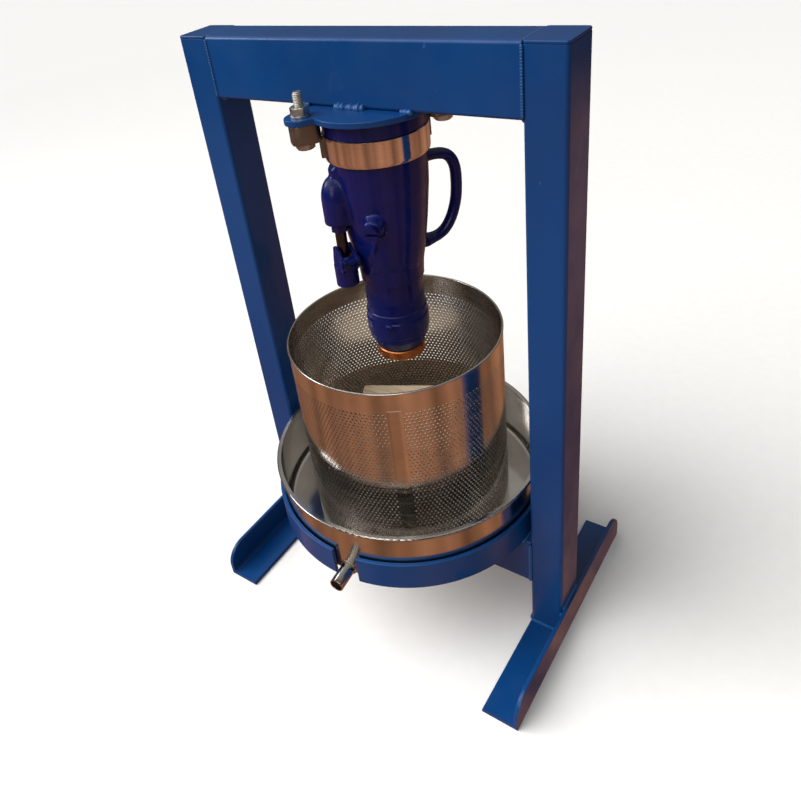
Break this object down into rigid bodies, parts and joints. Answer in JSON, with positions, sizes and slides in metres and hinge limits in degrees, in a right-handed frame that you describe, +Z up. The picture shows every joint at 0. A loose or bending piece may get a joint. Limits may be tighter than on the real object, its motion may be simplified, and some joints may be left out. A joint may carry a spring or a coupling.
{
  "type": "cider press",
  "caption": "Tabletop hydraulic cider press with a welded tube frame, an inverted bottle jack, a perforated steel basket and a spouted juice tray.",
  "frame": {"origin": "centre of the bounding box on the floor, between the feet", "axes": "+Z up, +X to the right seen from the spout side, spout towards -Y"},
  "size_m": [0.448, 0.3674, 0.725],
  "materials": {
    "frame_paint": "gloss",
    "jack_paint": "gloss",
    "clamp_steel": "polished",
    "zinc": "satin",
    "steel": "satin",
    "stainless": "satin",
    "copper": "satin",
    "rubber": "matt",
    "wood": "matt",
    "pale_wood": "matt"
  },
  "bodies": {
    "frame": {"post_left": "frame_paint", "post_right": "frame_paint", "post_caps": "frame_paint", "top_beam": "frame_paint", "cross_member": "frame_paint", "foot_left": "frame_paint", "foot_right": "frame_paint", "cradle_ring": "frame_paint", "jack_plate": "frame_paint", "clamp_ring": "clamp_steel", "jack_bolts": "zinc", "jack_nuts": "zinc", "jack_washers": "zinc", "jack_base": "jack_paint", "check_balls": "steel", "reservoir_tube": "jack_paint", "pressure_cylinder": "steel", "gland_nut": "jack_paint", "gland_seal": "rubber", "filler_plug": "jack_paint", "carry_handle": "jack_paint", "pump_gland": "zinc", "lever_pivot_pin": "zinc"},
    "ram": {"ram": "steel", "ram_piston": "steel", "piston_seal": "rubber"},
    "saddle": {"extension_screw": "steel", "saddle_pad": "copper"},
    "valve": {"release_valve": "zinc"},
    "plunger": {"pump_plunger": "steel", "plunger_pin": "zinc"},
    "lever": {"lever_socket": "jack_paint"},
    "tray": {"tray": "stainless", "spout": "stainless"},
    "basket": {"basket": "stainless"},
    "press_plate": {"press_plate": "wood"},
    "block": {"wood_block": "pale_wood"}
  },
  "joints": [
    {"name": "ram_slide", "type": "slide", "parent": "frame", "child": "ram", "axis": [0, 0, -1], "range_m": [0, 0.075]},
    {"name": "saddle_slide", "type": "slide", "parent": "ram", "child": "saddle", "axis": [0, 0, -1], "range_m": [0, 0.025]},
    {"name": "valve_turn", "type": "hinge", "parent": "frame", "child": "valve", "pos_m": [0.02439, -0.03104, 0.545], "axis": [0.342, -0.9397, 0], "range_deg": [0, 540]},
    {"name": "lever_swing", "type": "hinge", "parent": "frame", "child": "lever", "pos_m": [-0.00552, -0.04217, 0.50354], "axis": [-0.5299, -0.848, 0], "range_deg": [0, 50]},
    {"name": "plunger_slide", "type": "slide", "parent": "frame", "child": "plunger", "axis": [0, 0, -1], "range_m": [0, 0.015]},
    {"name": "tray_lift", "type": "slide", "parent": "frame", "child": "tray", "axis": [0, 0, -1], "range_m": [-0.04, 0]},
    {"name": "basket_lift", "type": "slide", "parent": "tray", "child": "basket", "axis": [0, 0, -1], "range_m": [-0.16, 0]},
    {"name": "plate_lift", "type": "slide", "parent": "tray", "child": "press_plate", "axis": [0, 0, -1], "range_m": [-0.03, 0]},
    {"name": "block_lift", "type": "slide", "parent": "press_plate", "child": "block", "axis": [0, 0, -1], "range_m": [-0.03, 0]}
  ],
  "couplings": [
    {"joint": "plunger_slide", "follows": "lever_swing", "m_per_rad": 0.0171}
  ]
}
